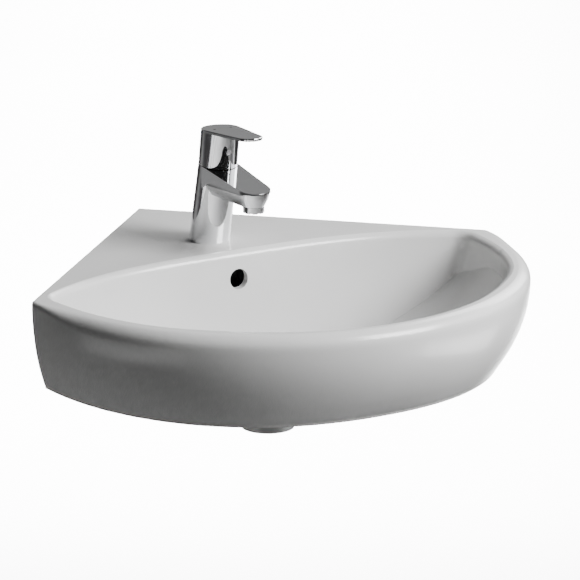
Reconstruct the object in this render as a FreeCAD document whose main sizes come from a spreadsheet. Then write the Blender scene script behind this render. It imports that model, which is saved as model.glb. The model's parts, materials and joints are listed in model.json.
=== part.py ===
import FreeCAD, Part
import math
import os

os.makedirs("parts", exist_ok=True)
V = FreeCAD.Vector
Placement = FreeCAD.Placement
Rotation = FreeCAD.Rotation

# Wall-hung corner washbasin with a single-lever tap.
# Frame: +Z up, front of the basin towards -Y, x = 0 is the plane of symmetry.
# Origin: the rear corner, where the two wall faces meet, at the level of the deck.
doc = FreeCAD.newDocument("corner_basin")
sheet = doc.addObject("Spreadsheet::Sheet", "Sizes")

SIZES = [
    # ---- ceramic: outline and lip
    ("RimHalfWidth", 295.2, "widest half width of the rim"),
    ("RimCentreBack", 286.8, "distance of the front curve's centre from the corner"),
    ("RimFrontDepth", 296.7, "front curve, depth ahead of its centre"),
    ("RimPower", 1.99, "exponent of the rim's front curve"),
    ("FootHalfWidth", 265.5, "half width of the apron's lower edge"),
    ("FootCentreBack", 250.1, "centre of the apron's lower edge"),
    ("FootFrontDepth", 289.1, "depth of the apron's lower edge"),
    ("FootPower", 2.21, "exponent of the apron's lower edge"),
    ("ApronHeight", 110.1, "deck to the apron's lower edge"),
    ("LipRadius", 13.7, "rounding of the rim's outer edge"),
    ("FootRound", 3.0, "rounding of the apron's lower edge"),
    ("EndRadius", 4.5, "plan rounding where the rim meets the walls"),
    ("EndLip", 4.5, "rounding of the rim's edge next to the walls"),
    ("EndLipRun", 95.0, "length over which that rounding grows to the full one"),
    ("BackEdgeRound", 2.0, "rounding of the deck's edge along the walls"),
    ("WallThick", 11.0, "ceramic wall thickness"),
    ("DeckThick", 12.0, "ceramic deck thickness"),
    # ---- ceramic: bowl
    ("BowlHalfWidth", 259.9, "bowl half width at the rim"),
    ("BowlFrontDepth", 270.0, "bowl depth ahead of its centre"),
    ("BowlCentreBack", 286.8, "bowl centre from the corner"),
    ("RearEdge", 229.2, "bowl's rear edge on the middle plane"),
    ("WallDraft", 0.09, "draft of the bowl's walls"),
    ("BowlDepth", 150.0, "floor below the deck at the drain"),
    ("BowlEdgeRound", 9.0, "rounding of the bowl's upper edge"),
    ("TipRound", 22.0, "plan rounding of the bowl's two rear corners"),
    ("OverflowDepth", 31.8, "overflow hole below the deck"),
    ("OverflowRadius", 11.5, "overflow hole"),
    ("DrainBack", 294.0, "drain centre from the corner"),
    ("DrainRadius", 23.0, "drain bore"),
    ("DrainRecessRadius", 32.0, "recess for the waste's flange"),
    ("DrainRecessDeep", 4.5, "depth of that recess"),
    ("BossRadius", 30.0, "boss under the drain"),
    ("BossBottom", 187.7, "boss bottom below the deck"),
    # ---- tap: place and body
    ("TapBack", 165.6, "tap axis from the corner"),
    ("TapHoleRadius", 17.5, "tap hole in the deck"),
    ("BodyBaseRadius", 23.5, "tap body at the deck"),
    ("HubRadius", 22.0, "tap body and handle at the joint"),
    ("HubForward", 19.5, "joint centre ahead of the tap axis"),
    ("HubHeight", 92.2, "joint centre above the deck"),
    ("HubLean", 8.7, "lean of the cartridge axis, degrees"),
    ("SpoutReach", 98.2, "outlet axis ahead of the tap axis"),
    ("SpoutNoseRadius", 18.8, "rounded end of the spout"),
    ("SpoutUnderHeight", 60.0, "underside of the spout above the deck"),
    ("SlabUnderHeight", 76.4, "underside of the spout's flat upper slab"),
    ("OutletRadius", 12.0, "aerator housing"),
    ("OutletHeight", 52.8, "outlet above the deck"),
    # ---- tap: handle
    ("PlateThick", 3.4, "handle plate"),
    ("PlateRise", 2.3, "rise of the handle plate, degrees"),
    ("PlateHeight", 43.1, "plate top above the joint, on the cartridge axis"),
    ("PlateNoseAhead", 62.5, "centre of the plate's rounded end"),
    ("PlateNoseRadius", 14.4, "rounded end of the plate"),
    ("HandleGap", 0.6, "gap between handle and body"),
    ("HandleWall", 3.0, "handle skirt wall"),
    ("PivotUp", 7.0, "lever pivot above the joint"),
    ("LiftAngle", 17.0, "lever lift, degrees"),
    # ---- cartridge
    ("CartridgeRadius", 17.4, "cartridge body"),
    ("ChamberDeep", 18.0, "cartridge seat below the joint"),
    ("DiscRadius", 14.4, "fixed ceramic disc"),
    ("SliderRadius", 11.0, "moving ceramic disc"),
    ("NeckRadius", 13.0, "cartridge neck"),
    ("RotorRadius", 10.7, "lever holder"),
    ("StemSide", 8.0, "square of the lever stem"),
    ("PinRadius", 1.5, "pivot pin"),
    ("BallRadius", 2.9, "ball at the stem's lower end"),
    # ---- fixing below the deck
    ("StudRadius", 4.0, "mounting stud"),
    ("StudBehind", 9.5, "stud behind the tap axis"),
    ("InletAside", 9.0, "hose sockets each side of the middle plane"),
    ("InletRadius", 4.5, "hose socket, M10 thread core"),
    ("InletDeep", 13.0, "hose socket depth"),
    ("PlateRadius", 23.0, "horseshoe plate"),
]
for i, (alias, value, note) in enumerate(SIZES, start=1):
    sheet.set("A%d" % i, alias)
    sheet.set("B%d" % i, str(value))
    sheet.set("C%d" % i, note)
    sheet.setAlias("B%d" % i, alias)
doc.recompute()


def size(alias):
    return float(getattr(sheet, alias))


def value_of(expression):
    """Number that a sheet formula gives, for placing sketch geometry before it is constrained."""
    if isinstance(expression, (int, float)):
        return float(expression)
    names = dict((a, size(a)) for a, _, _ in SIZES)
    total = 0.0
    for sign, term in split_terms(expression):
        product = 1.0
        for factor in term.split("*"):
            factor = factor.strip()
            product *= names[factor] if factor in names else float(factor)
        total += sign * product
    return total


def split_terms(text):
    terms, sign, word = [], 1.0, ""
    for ch in text:
        if ch in "+-" and word.strip():
            terms.append((sign, word))
            sign, word = (1.0 if ch == "+" else -1.0), ""
        elif ch == "-" and not word.strip():
            sign = -sign
        elif ch != "+" or word.strip():
            word += ch
    terms.append((sign, word))
    return terms


def formula(expression):
    """The same formula with the sheet's name before each alias."""
    if isinstance(expression, (int, float)):
        return repr(float(expression))
    aliases = set(a for a, _, _ in SIZES)
    out, word = "", ""
    for ch in expression + " ":
        if ch.isalnum() or ch == "_" or ch == ".":
            word += ch
        else:
            out += ("Sizes." + word if word in aliases else word) + ch
            word = ""
    return out.strip()


parts = {}
TAP = V(0, -size("TapBack"), 0)
LEAN = size("HubLean")
HUB = V(0, -size("TapBack") - size("HubForward"), size("HubHeight"))
tap_place = Placement(TAP, Rotation())
hub_place = Placement(HUB, Rotation(V(1, 0, 0), LEAN))


def keep(name, obj):
    obj.Label = name
    parts[name] = obj
    return obj


# ------------------------------------------------------------------ helpers
def plane_of(body, role):
    for f in body.Origin.OriginFeatures:
        if f.Role == role:
            return f
    raise RuntimeError(role)


def outline_sketch(body, role, points, name):
    """Closed polygon; every corner is dimensioned from the sketch's origin by a sheet formula."""
    import Sketcher

    sk = body.newObject("Sketcher::SketchObject", name)
    sk.AttachmentSupport = [(plane_of(body, role), "")]
    sk.MapMode = "FlatFace"
    xy = [(value_of(a), value_of(b)) for a, b in points]
    n = len(xy)
    for i in range(n):
        a, b = xy[i], xy[(i + 1) % n]
        sk.addGeometry(Part.LineSegment(V(a[0], a[1], 0), V(b[0], b[1], 0)), False)
    for i in range(n):
        sk.addConstraint(Sketcher.Constraint("Coincident", i, 2, (i + 1) % n, 1))
    for i in range(n):
        for axis, kind, other in ((0, "DistanceX", -2), (1, "DistanceY", -1)):
            v = xy[i][axis]
            if abs(v) < 1e-9:
                sk.addConstraint(Sketcher.Constraint("PointOnObject", i, 1, other))
            else:
                c = sk.addConstraint(Sketcher.Constraint(kind, -1, 1, i, 1, v))
                label = "p%d%s" % (i, "xy"[axis])
                sk.renameConstraint(c, label)
                if not isinstance(points[i][axis], (int, float)):
                    sk.setExpression("Constraints." + label, formula(points[i][axis]))
    return sk


def turned(name, points, place, angle=360.0):
    """Turned piece: profile of (radius, height) corners revolved about the local Z axis."""
    body = doc.addObject("PartDesign::Body", name)
    sk = outline_sketch(body, "XZ_Plane", points, name + "_profile")
    rev = body.newObject("PartDesign::Revolution", name + "_turn")
    rev.Profile = sk
    rev.ReferenceAxis = (sk, ["V_Axis"])
    rev.Angle = angle
    body.Placement = place
    return body


def circles_sketch(body, role, circles, name, support=None):
    import Sketcher

    sk = body.newObject("Sketcher::SketchObject", name)
    sk.AttachmentSupport = support or [(plane_of(body, role), "")]
    sk.MapMode = "FlatFace"
    for i, (x, y, r) in enumerate(circles):
        sk.addGeometry(Part.Circle(V(value_of(x), value_of(y), 0), V(0, 0, 1), value_of(r)), False)
        c = sk.addConstraint(Sketcher.Constraint("Radius", i, value_of(r)))
        sk.renameConstraint(c, "r%d" % i)
        if not isinstance(r, (int, float)):
            sk.setExpression("Constraints.r%d" % i, formula(r))
        for v, kind, other, tag in ((x, "DistanceX", -2, "x"), (y, "DistanceY", -1, "y")):
            if abs(value_of(v)) < 1e-9:
                sk.addConstraint(Sketcher.Constraint("PointOnObject", i, 3, other))
            else:
                c = sk.addConstraint(Sketcher.Constraint(kind, -1, 1, i, 3, value_of(v)))
                sk.renameConstraint(c, tag + str(i))
                if not isinstance(v, (int, float)):
                    sk.setExpression("Constraints." + tag + str(i), formula(v))
    return sk


def pad(body, sk, length, name):
    p = body.newObject("PartDesign::Pad", name)
    p.Profile = sk
    p.Length = value_of(length)
    if not isinstance(length, (int, float)):
        p.setExpression("Length", formula(length))
    return p


def pocket_through(body, sk, name):
    """Pocket both ways through everything, so that its direction can't matter."""
    doc.recompute()
    before = body.Shape.Volume
    p = body.newObject("PartDesign::Pocket", name)
    p.Profile = sk
    p.Type = "ThroughAll"
    p.Midplane = True
    body.Tip = p
    doc.recompute()
    if not body.Shape.Volume < before - 1e-3:
        raise RuntimeError(name + " cut nothing")
    return p


def cylinder(name, radius, height, place):
    c = doc.addObject("Part::Cylinder", name)
    c.Radius = value_of(radius)
    c.Height = value_of(height)
    if not isinstance(radius, (int, float)):
        c.setExpression("Radius", formula(radius))
    if not isinstance(height, (int, float)):
        c.setExpression("Height", formula(height))
    c.Placement = place
    return c


def block(name, lx, ly, lz, place):
    b = doc.addObject("Part::Box", name)
    for key, val in (("Length", lx), ("Width", ly), ("Height", lz)):
        setattr(b, key, value_of(val))
        if not isinstance(val, (int, float)):
            b.setExpression(key, formula(val))
    b.Placement = place
    return b


def cone(name, r_low, r_high, height, place):
    c = doc.addObject("Part::Cone", name)
    for key, val in (("Radius1", r_low), ("Radius2", r_high), ("Height", height)):
        setattr(c, key, value_of(val))
        if not isinstance(val, (int, float)):
            c.setExpression(key, formula(val))
    c.Placement = place
    return c


def shaped(name, shape, place=None):
    f = doc.addObject("Part::Feature", name)
    f.Shape = shape
    if place is not None:
        f.Placement = place
    return f


def fused(name, items):
    f = doc.addObject("Part::MultiFuse", name)
    f.Shapes = items
    f.Refine = True
    return f


def cut(name, base, tools):
    c = doc.addObject("Part::Cut", name)
    c.Base = base
    c.Tool = tools[0] if len(tools) == 1 else fused(name + "_tools", tools)
    c.Refine = True
    return c


def at(place, x=0.0, y=0.0, z=0.0, rot=None):
    return place.multiply(Placement(V(x, y, z), rot or Rotation()))


# ------------------------------------------------------------------ ceramic
ROOT2 = math.sqrt(2.0)


def front_point(th, k, inset):
    """Point of the basin's front curve, blended between the rim (k = 0) and the apron's foot (k = 1)."""
    pts = []
    for w, c, d, n in (
        (size("RimHalfWidth"), size("RimCentreBack"), size("RimFrontDepth"), size("RimPower")),
        (size("FootHalfWidth"), size("FootCentreBack"), size("FootFrontDepth"), size("FootPower")),
    ):
        cx, sx = math.cos(th), max(math.sin(th), 0.0)
        x = (w - inset) * math.copysign(abs(cx) ** (2.0 / n), cx)
        y = -c - (d - inset) * sx ** (2.0 / n)
        pts.append((x, y))
    return ((1 - k) * pts[0][0] + k * pts[1][0], (1 - k) * pts[0][1] + k * pts[1][1])


def half_section(k, inset, wall_off, radius, count, power=2.2):
    """Right half of one level: from the wall face, round the plan corner and along the front to x = 0."""
    curve = [front_point(math.pi / 2 * (i / 900.0) ** 1.6, k, inset) for i in range(901)]

    def nearest(cx, cy):
        best = min(range(len(curve)), key=lambda i: (curve[i][0] - cx) ** 2 + (curve[i][1] - cy) ** 2)
        best_d, best_p, best_t = 1e18, None, 0.0
        for i in (best - 1, best):
            if 0 <= i < len(curve) - 1:
                ax, ay = curve[i]
                bx, by = curve[i + 1]
                ll = (bx - ax) ** 2 + (by - ay) ** 2
                t = max(0.0, min(1.0, ((cx - ax) * (bx - ax) + (cy - ay) * (by - ay)) / ll))
                px, py = ax + t * (bx - ax), ay + t * (by - ay)
                dd = math.hypot(px - cx, py - cy)
                if dd < best_d:
                    best_d, best_p, best_t = dd, (px, py), i + t
        return best_d, best_p, best_t

    off = wall_off + radius
    lo, hi = 250.0, 440.0
    for _ in range(44):
        mid = 0.5 * (lo + hi)
        cx, cy = (mid - off) / ROOT2, -(mid + off) / ROOT2
        d, touched, _ = nearest(cx, cy)
        if d > radius and cx < touched[0]:
            lo = mid
        else:
            hi = mid
    s = 0.5 * (lo + hi)
    cx, cy = (s - off) / ROOT2, -(s + off) / ROOT2
    _, touch, pos = nearest(cx, cy)
    start = ((s - wall_off) / ROOT2, -(s + wall_off) / ROOT2)
    a0 = math.atan2(start[1] - cy, start[0] - cx)
    a1 = math.atan2(touch[1] - cy, touch[0] - cx)
    path = [(cx + radius * math.cos(a0 + (a1 - a0) * i / 60.0), cy + radius * math.sin(a0 + (a1 - a0) * i / 60.0)) for i in range(61)]
    path += curve[int(pos) + 1:]
    lengths = [0.0]
    for i in range(1, len(path)):
        lengths.append(lengths[-1] + math.hypot(path[i][0] - path[i - 1][0], path[i][1] - path[i - 1][1]))
    out, j = [], 0
    for i in range(count + 1):
        want = lengths[-1] * (i / float(count)) ** power
        while j < len(path) - 2 and lengths[j + 1] < want:
            j += 1
        t = (want - lengths[j]) / (lengths[j + 1] - lengths[j])
        out.append((path[j][0] + t * (path[j + 1][0] - path[j][0]), path[j][1] + t * (path[j + 1][1] - path[j][1])))
    out[0] = start
    out[-1] = (0.0, path[-1][1])
    return out


def woven(grid, ends=None):
    """Smooth surface through a grid of points: every row, then every column of the rows' poles."""
    def stations(rows):
        total = [0.0] * len(rows[0])
        for row in rows:
            run = [0.0]
            for i in range(1, len(row)):
                run.append(run[-1] + row[i].distanceToPoint(row[i - 1]))
            for i in range(len(row)):
                total[i] += run[i] / run[-1] / len(rows)
        total[0], total[-1] = 0.0, 1.0
        return total

    along = stations(grid)
    across = stations([list(col) for col in zip(*grid)])
    row_poles, first = [], None
    for row in grid:
        c = Part.BSplineCurve()
        if ends:
            length = sum(row[i].distanceToPoint(row[i - 1]) for i in range(1, len(row)))
            c.interpolate(Points=row, Parameters=along, InitialTangent=ends[0] * length, FinalTangent=ends[1] * length, Scale=False)
        else:
            c.interpolate(Points=row, Parameters=along)
        first = first or c
        row_poles.append(c.getPoles())
    net, second = [], None
    for col in zip(*row_poles):
        c = Part.BSplineCurve()
        c.interpolate(Points=list(col), Parameters=across)
        second = second or c
        net.append(c.getPoles())
    surface = Part.BSplineSurface()
    surface.buildFromPolesMultsKnots(
        [list(row) for row in zip(*net)], second.getMultiplicities(), first.getMultiplicities(),
        second.getKnots(), first.getKnots(), False, False, second.Degree, first.Degree,
    )
    return surface


def smooth_step(t):
    t = max(0.0, min(1.0, t))
    return t * t * t * (10.0 - 15.0 * t + 6.0 * t * t)


def level_row(level, wall_off, radius, count, power):
    """One row of the skin: (z, inset) next to the walls blends into (z, inset) along the front."""
    (z_end, inset_end), (z_front, inset_front), k = level
    near = half_section(k, inset_end, wall_off, radius, count, power)
    if (z_end, inset_end) == (z_front, inset_front):
        return [V(x, y, z_end) for x, y in near]
    far = half_section(k, inset_front, wall_off, radius, count, power)
    out, run = [], 0.0
    for i in range(len(near)):
        if i:
            run += math.hypot(near[i][0] - near[i - 1][0], near[i][1] - near[i - 1][1])
        w = smooth_step(run / size("EndLipRun"))
        out.append(V(near[i][0] + w * (far[i][0] - near[i][0]), near[i][1] + w * (far[i][1] - near[i][1]), z_end + w * (z_front - z_end)))
    return out


def corner_solid(levels, wall_off, radius, count, power):
    """Solid between the two wall faces and a smooth front skin through the levels."""
    grid = []
    for level in levels:
        half = level_row(level, wall_off, radius, count, power)
        grid.append(half + [V(-p.x, p.y, p.z) for p in half[-2::-1]])
    surface = woven(grid)
    skin = surface.toShape()
    back = -wall_off * ROOT2
    z0, z1 = levels[0][0][0], levels[-1][0][0]
    rows = [surface.uIso(surface.bounds()[0]), surface.uIso(surface.bounds()[1])]
    sides = [surface.vIso(surface.bounds()[2]), surface.vIso(surface.bounds()[3])]
    faces = [skin]
    for curve, z in ((rows[0], z0), (rows[1], z1)):
        e = curve.toShape()
        a, b = e.valueAt(e.FirstParameter), e.valueAt(e.LastParameter)
        corner = V(0, back, z)
        faces.append(Part.Face(Part.Wire([e, Part.makeLine(b, corner), Part.makeLine(corner, a)])))
    for curve in sides:
        e = curve.toShape()
        a, b = e.valueAt(e.FirstParameter), e.valueAt(e.LastParameter)
        c0, c1 = V(0, back, a.z), V(0, back, b.z)
        faces.append(Part.Face(Part.Wire([e, Part.makeLine(b, c1), Part.makeLine(c1, c0), Part.makeLine(c0, a)])))
    shell = Part.makeShell(faces)
    shell.sewShape()
    solid = Part.makeSolid(Part.Shell(shell.Faces))
    if solid.Volume < 0:
        solid.reverse()
    fix = solid.copy()
    fix.fix(1e-4, 1e-4, 1e-3)
    return fix if fix.ShapeType == "Solid" and fix.isValid() else solid


lip, apron, foot = size("LipRadius"), size("ApronHeight"), size("FootRound")
end_lip = size("EndLip")
outer_levels = []
for a in (90, 74, 58, 42, 26, 12, 0):
    ar = math.radians(a)
    pair = [(-q * (1 - math.sin(ar)), q * (1 - math.cos(ar))) for q in (end_lip, lip)]
    outer_levels.append((pair[0], pair[1], 0.0))
for v in (0.05, 0.12, 0.22, 0.36, 0.52, 0.68, 0.82, 0.92, 0.975, 1.0):
    pair = [(-q - (apron - foot - q) * v, 0.0) for q in (end_lip, lip)]
    outer_levels.append((pair[0], pair[1], v ** 2.01))
for a in (30, 60, 90):
    ar = math.radians(a)
    same = (-(apron - foot) - foot * math.sin(ar), foot * (1 - math.cos(ar)))
    outer_levels.append((same, same, 1.0))
outer = corner_solid(outer_levels, 0.0, size("EndRadius"), 24, 2.2)


basin_outer = shaped("basin_outer", outer)

# hollow underside, open at the bottom
wt, deck = size("WallThick"), size("DeckThick")
hollow_levels = []
for v in (-0.02, 0.18, 0.4, 0.62, 0.84, 1.04):
    kk = max(v, 0.0) ** 2.01
    same = (-deck - (apron - deck) * max(v, 0.0) if v < 1 else -apron - 3.0, wt)
    hollow_levels.append((same, same, kk))
hollow = corner_solid(hollow_levels, wt, 9.0, 18, 2.0)
basin_hollow = shaped("basin_hollow", hollow)

# bowl: drafted side and front wall, drafted rear wall, dished floor
bc = size("BowlCentreBack")
draft = size("WallDraft")
TOP, LOW = 3.0, -205.0


def rear_y(x):
    """Plan of the bowl's rear edge, which runs forward towards the two rear corners."""
    return -(size("RearEdge") + 3.0 * abs(x / 100.0) ** 3)


def resampled(path, count, power=1.0):
    """The same path as count equal steps (or finer steps at its start, for a power above 1)."""
    run = [0.0]
    for i in range(1, len(path)):
        run.append(run[-1] + math.hypot(path[i][0] - path[i - 1][0], path[i][1] - path[i - 1][1]))
    out, j = [], 0
    for i in range(count + 1):
        want = run[-1] * (i / float(count)) ** power
        while j < len(path) - 2 and run[j + 1] < want:
            j += 1
        t = (want - run[j]) / (run[j + 1] - run[j])
        out.append((path[j][0] + t * (path[j + 1][0] - path[j][0]), path[j][1] + t * (path[j + 1][1] - path[j][1])))
    return out


def fuller(x, y):
    """How far the bowl's plan stands outside its ellipse, as a factor; it does at the two sides' rear."""
    angle = math.degrees(math.atan2((-y - bc) / size("BowlFrontDepth"), max(abs(x), 1.0) / size("BowlHalfWidth")))
    return 1.0 + 0.022 * (1.0 - smooth_step((angle - 26.0) / 30.0))


def bowl_outline(offset, radius):
    """Right half of the bowl's plan at one level: rear wall, rounded rear corner, side and front."""
    ea, eb = size("BowlHalfWidth") + offset, size("BowlFrontDepth") + offset
    rear = [(0.5 * i, rear_y(0.5 * i) + offset) for i in range(601)]
    inner = []
    for i in range(1, 600):
        tx, ty = rear[i + 1][0] - rear[i - 1][0], rear[i + 1][1] - rear[i - 1][1]
        n = math.hypot(tx, ty)
        inner.append((rear[i][0] + radius * ty / n, rear[i][1] - radius * tx / n, i))
    ring = []
    for i in range(1201):
        th = -0.35 + (math.pi / 2 + 0.35) * i / 1200.0
        rx, ry = ea * math.cos(th), -eb * math.sin(th)
        grown = fuller(rx, ry - bc)
        ring.append((rx * grown, ry * grown - bc))

    def gap_to_ring(cx, cy):
        j = min(range(len(ring)), key=lambda k: (ring[k][0] - cx) ** 2 + (ring[k][1] - cy) ** 2)
        return math.hypot(ring[j][0] - cx, ring[j][1] - cy), j

    hit = None
    for cx, cy, i in inner:
        if cx < 150:
            continue
        inside = math.hypot(cx / ea, (cy + bc) / eb) < fuller(cx, cy)
        d, j = gap_to_ring(cx, cy)
        if not inside or d <= radius:
            hit = (cx, cy, i, j)
            break
    cx, cy, i, j = hit
    a0 = math.atan2(rear[i][1] - cy, rear[i][0] - cx)
    a1 = math.atan2(ring[j][1] - cy, ring[j][0] - cx)
    arc = [(cx + radius * math.cos(a0 + (a1 - a0) * k / 40.0), cy + radius * math.sin(a0 + (a1 - a0) * k / 40.0)) for k in range(41)]
    tail = [arc[-1]] + ring[j + 2:]
    tail[-1] = (0.0, -bc - eb)
    first = resampled([arc[0]] + rear[:i][::-1], 10, 1.7)[::-1]
    second = resampled(arc, 8)
    third = resampled(tail, 15, 1.6)
    out = first[:-1] + second[:-1] + third
    out[0] = (0.0, rear_y(0) + offset)
    return out


def prism_between(levels):
    """Closed solid through mirrored half outlines; levels give (z, offset, corner radius)."""
    halves = [(z, bowl_outline(offset, radius)) for z, offset, radius in levels]
    faces, top_edges, low_edges = [], [], []
    for sign in (1, -1):
        grid = [[V(sign * x, y, z) for x, y in half] for z, half in halves]
        surface = woven(grid, (V(sign, 0, 0), V(-sign, 0, 0)))
        faces.append(surface.toShape())
        bounds = surface.bounds()
        top_edges.append(surface.uIso(bounds[0]).toShape())
        low_edges.append(surface.uIso(bounds[1]).toShape())
    for pair in (top_edges, low_edges):
        faces.append(Part.Face(Part.Wire(Part.__sortEdges__(pair))))
    shell = Part.makeShell(faces)
    shell.sewShape()
    solid = Part.makeSolid(Part.Shell(shell.Faces))
    if solid.Volume < 0:
        solid.reverse()
    return solid


def floor_z(x, y, grow):
    """Height of the bowl's floor; grow moves it outwards by the ceramic's thickness."""
    a = size("BowlHalfWidth") + 7.1 + grow
    b = size("BowlFrontDepth") + 7.0 + grow
    t = math.hypot(x / a, (y + bc) / b) / fuller(x, y)
    tt = t if t < 1.0 else 1.0 + 0.05 * math.tanh((t - 1.0) / 0.05)
    z = -size("BowlDepth") + 90.0 * tt ** 2 + 25.0 * tt ** 6
    q = smooth_step(abs(x) / 220.0)
    z += (8.0 + 5.0 * q) * (1.0 + math.tanh((-y - 368.0 + 46.0 * q) / (24.0 + 6.0 * q))) * tt ** 6
    r = math.hypot(x, y + size("DrainBack"))
    z -= 3.0 * math.exp(-((r / 45.0) ** 2))
    return z - 1.12 * grow


def bowl_solid(grow):
    round_r, tip = size("BowlEdgeRound"), size("TipRound")
    levels = []
    if grow == 0:
        start = math.radians(10.0)
        levels.append((1.2, round_r * (1 - math.sin(start)) + (1.2 + round_r * (1 - math.cos(start))) / math.tan(start)))
        for deg in (10, 26, 42, 58, 74, 90):
            t = math.radians(deg)
            levels.append((-round_r * (1 - math.cos(t)), round_r * (1 - math.sin(t))))
        levels = [(z, off, tip + off) for z, off in levels]
        for z in (-14.0, -28.0, -56.0, -100.0, -168.0):
            fall = draft * (z + round_r)
            levels.append((z, fall, max(tip + 0.3 * fall, 5.0)))
    else:
        for z in (-9.0, -40.0, -80.0, -125.0, -175.0):
            levels.append((z, draft * z + grow, tip + grow + 0.3 * draft * z))
    prism = prism_between(levels)
    half = [0, 32, 64, 94, 120, 144, 164, 182, 198, 212, 225, 238, 251, 264, 277, 290, 303, 316]
    xs = [-float(x) for x in half[:0:-1]] + [float(x) for x in half]
    ys = [-float(y) for y in (205, 232, 260, 288, 312, 332, 348, 362, 375, 388, 402, 418, 436, 454, 471, 487, 502, 516, 529, 542, 555, 568, 581, 595)]
    surface = woven([[V(x, y, floor_z(x, y, grow)) for y in ys] for x in xs])
    above = surface.toShape().extrude(V(0, 0, 420))
    out = prism.common(above)
    return out.Solids[0]


bowl = bowl_solid(0.0)
hull = bowl_solid(wt)
basin_bowl = shaped("basin_bowl", bowl)
basin_hull = shaped("basin_hull", hull)

dc = size("DrainBack")
boss = cylinder("drain_boss", "BossRadius", 50.0, Placement(V(0, -dc, -size("BossBottom")), Rotation()))
boss_flare = cone("drain_flare", "BossRadius", "BossRadius+14.0", 14.0, Placement(V(0, -dc, -size("BossBottom") + 18.0), Rotation()))

# overflow: a duct behind the rear wall, then a sloping run to the drain's boss
oy = rear_y(0)
duct_outer = block("overflow_duct", 44.0, 34.0, 150.0, Placement(V(-22, oy - 2.0, -158.0), Rotation()))
duct_inner = block("overflow_duct_inner", 28.0, 18.5, 138.0, Placement(V(-14, oy + 6.0, -152.0), Rotation()))
run_from, run_to = V(0, oy + 17.0, -149.0), V(0, -dc, -176.0)
run_dir = run_to.sub(run_from)
run_rot = Rotation(V(0, 0, 1), run_dir)
run_outer = cylinder("overflow_run", 12.0, run_dir.Length, Placement(run_from, run_rot))
run_inner = cylinder("overflow_run_inner", 6.5, run_dir.Length, Placement(run_from, run_rot))
overflow_hole = cylinder(
    "overflow_hole", "OverflowRadius", 40.0,
    Placement(V(0, oy - 18.0, -size("OverflowDepth")), Rotation(V(1, 0, 0), -90)),
)
drain_bore = cylinder("drain_bore", "DrainRadius", 80.0, Placement(V(0, -dc, -size("BossBottom") - 5.0), Rotation()))
recess_z = -size("BowlDepth") - 2.5 - size("DrainRecessDeep")
drain_recess = cylinder("drain_recess", "DrainRecessRadius", 20.0, Placement(V(0, -dc, recess_z), Rotation()))
tap_hole = cylinder("tap_hole", "TapHoleRadius", 60.0, Placement(V(0, -size("TapBack"), -40.0), Rotation()))
edge_tools = []
# rounding of the deck's two edges along the walls
br = size("BackEdgeRound")
bcut = br - 0.04
for sign, tag in ((1, "right"), (-1, "left")):
    along, inward = V(sign, -1, 0).normalize(), V(-sign, -1, 0).normalize()

    def edge_point(d, z):
        return inward * d - along * 12.0 + V(0, 0, z)

    mid = br * math.sqrt(0.5)
    profile = [
        Part.Arc(edge_point(bcut, br - bcut), edge_point(bcut - mid, mid - bcut), edge_point(bcut - br, -bcut)).toShape(),
        Part.makeLine(edge_point(bcut - br, -bcut), edge_point(-4.0, -bcut)),
        Part.makeLine(edge_point(-4.0, -bcut), edge_point(-4.0, 4.0)),
        Part.makeLine(edge_point(-4.0, 4.0), edge_point(bcut, 4.0)),
        Part.makeLine(edge_point(bcut, 4.0), edge_point(bcut, br - bcut)),
    ]
    edge_tools.append(shaped("edge_round_" + tag, Part.Face(Part.Wire(profile)).extrude(along * 460.0)))

shell_cut = cut("basin_shell", basin_outer, [basin_hollow])
solid_all = fused("basin_mass", [shell_cut, basin_hull, boss, boss_flare, duct_outer, run_outer])
doc.recompute()
basin_raw = cut("basin_raw", solid_all, [basin_bowl, drain_bore, drain_recess, duct_inner, run_inner, overflow_hole, tap_hole] + edge_tools)
doc.recompute()


for item in (basin_outer, basin_hollow, basin_bowl, basin_hull, shell_cut, solid_all, basin_raw):
    print("%-14s valid %s volume %.0f solids %d" % (item.Label, item.Shape.isValid(), item.Shape.Volume, len(item.Shape.Solids)))
raw = basin_raw.Shape
raw = raw.Solids[0] if len(raw.Solids) == 1 else max(raw.Solids, key=lambda q: q.Volume)
basin = shaped("basin", raw)
keep("basin", basin)

# ------------------------------------------------------------------ tap body
HR = size("HubRadius")
lean = math.radians(LEAN)


def hub_point(x, e, up):
    """Point given ahead of (e) and above (up) the joint, in the tap's own frame (front is -Y)."""
    d = size("HubForward") + e * math.cos(lean) + up * math.sin(lean)
    z = size("HubHeight") - e * math.sin(lean) + up * math.cos(lean)
    return V(x, -d, z)


def plane_top(d):
    return size("HubHeight") - (d - size("HubForward")) * math.tan(lean)


base_ring = Part.Wire([Part.makeCircle(size("BodyBaseRadius"), V(0, 0, 0), V(0, 0, 1))])
top_circle = Part.Circle(hub_point(0, 0, 0), V(0, -math.sin(lean), math.cos(lean)), HR)
core = Part.makeLoft([base_ring, Part.Wire([top_circle.toShape()])], True, True)

# flat upper slab of the spout: plan outline and side profile
reach, nose = size("SpoutReach"), size("SpoutNoseRadius")
d0, w0 = size("HubForward") + 0.9, HR


def stadium(z, w_back, w_front, back, front):
    """Plan outline with a square back and a round front of radius w_front centred at front."""
    a = math.asin((w_back - w_front) / (front - back))
    sx, sd = w_front * math.cos(a), w_front * math.sin(a)
    p1, p2 = V(w_back, -back, z), V(sx, -(front + sd), z)
    p3, p4 = V(-sx, -(front + sd), z), V(-w_back, -back, z)
    return Part.Wire([
        Part.makeLine(p4, p1), Part.makeLine(p1, p2),
        Part.Arc(p2, V(0, -(front + w_front), z), p3).toShape(), Part.makeLine(p3, p4),
    ])


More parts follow.
